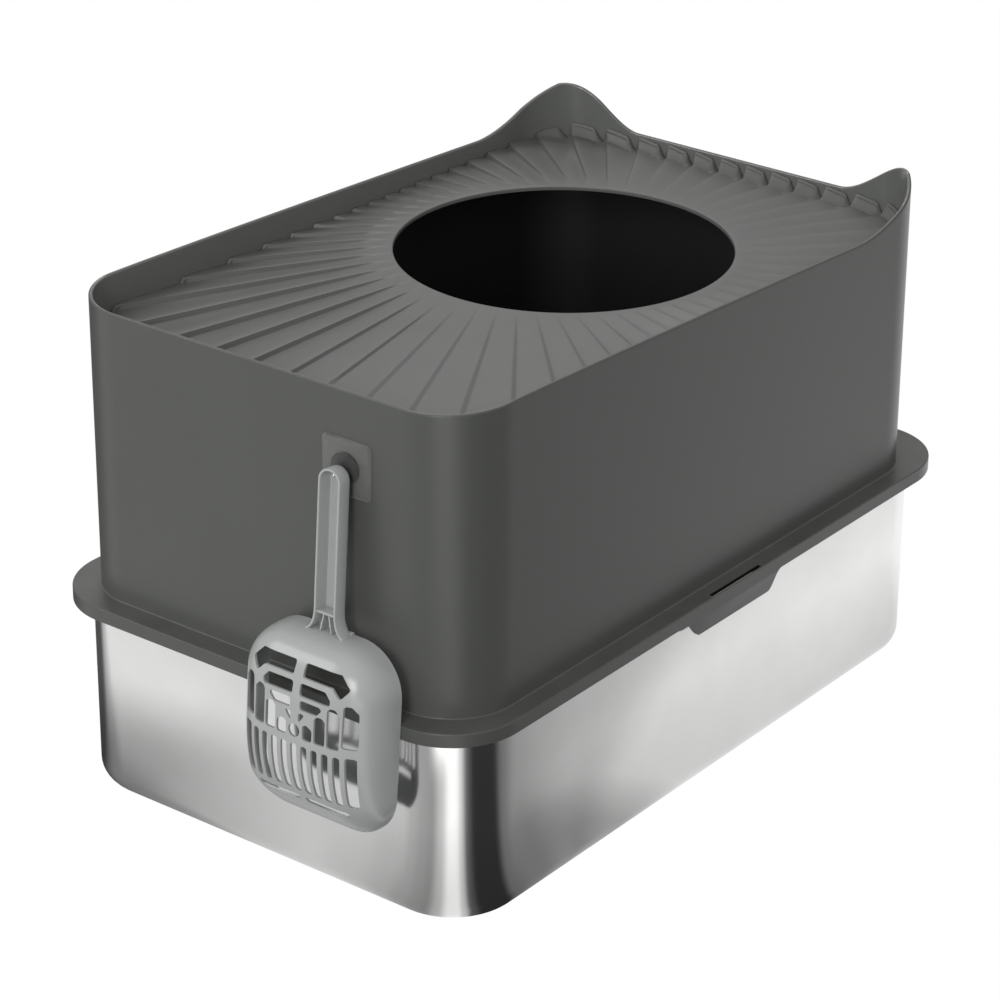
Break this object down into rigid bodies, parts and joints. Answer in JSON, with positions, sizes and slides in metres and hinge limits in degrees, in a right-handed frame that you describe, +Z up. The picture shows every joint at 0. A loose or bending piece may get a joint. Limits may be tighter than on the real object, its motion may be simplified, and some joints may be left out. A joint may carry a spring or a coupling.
{
  "type": "top entry litter box",
  "caption": "Top entry cat litter box: rounded steel pan, clip-on grey hood with raised ear corners, ribbed lid with a round way in, and a slotted scoop on a clear wall hook.",
  "frame": {"origin": "centre of the steel pan's flat base, on the floor", "axes": "+X along the box from the scoop's short wall to the low short wall between the ears, +Y across it, +Z up"},
  "size_m": [0.64, 0.3788, 0.3806],
  "materials": {
    "pan_steel": "polished stainless sheet",
    "hood_plastic": "satin dark grey",
    "lid_plastic": "satin dark grey, ribbed",
    "adhesive_film": "clear sticky film",
    "clear_plastic": "clear",
    "peg_steel": "bright steel",
    "scoop_plastic": "satin light grey"
  },
  "bodies": {
    "pan": {"litter_pan": "pan_steel"},
    "hood": {"hood": "hood_plastic", "hook_adhesive": "adhesive_film", "hook_plate": "clear_plastic", "hook_boss": "clear_plastic"},
    "lid": {"entry_lid": "lid_plastic"},
    "near_tab": {"near_snap_tab": "hood_plastic"},
    "far_tab": {"far_snap_tab": "hood_plastic"},
    "peg": {"hook_peg": "peg_steel"},
    "scoop": {"scoop": "scoop_plastic"}
  },
  "joints": [
    {"name": "hood_lift", "type": "slide", "parent": "pan", "child": "hood", "axis": [0, 0, 1], "range_m": [0, 0.25]},
    {"name": "lid_lift", "type": "slide", "parent": "hood", "child": "lid", "axis": [0, 0, 1], "range_m": [0, 0.12]},
    {"name": "near_tab_flex", "type": "hinge", "parent": "hood", "child": "near_tab", "pos_m": [0.008, -0.1894, 0.1447], "axis": [-1, 0, 0], "range_deg": [0, 12], "stiffness_Nm_per_rad": 2},
    {"name": "far_tab_flex", "type": "hinge", "parent": "hood", "child": "far_tab", "pos_m": [0.008, 0.1894, 0.1447], "axis": [1, 0, 0], "range_deg": [0, 12], "stiffness_Nm_per_rad": 2},
    {"name": "scoop_swing", "type": "hinge", "parent": "hood", "child": "peg", "pos_m": [-0.28492, -0.0782, 0.31223], "axis": [-0.9973, 0, 0.0737], "range_deg": [-25, 25]},
    {"name": "scoop_unhook", "type": "slide", "parent": "peg", "child": "scoop", "axis": [-0.866, 0, 0.5], "range_m": [0, 0.03]}
  ]
}
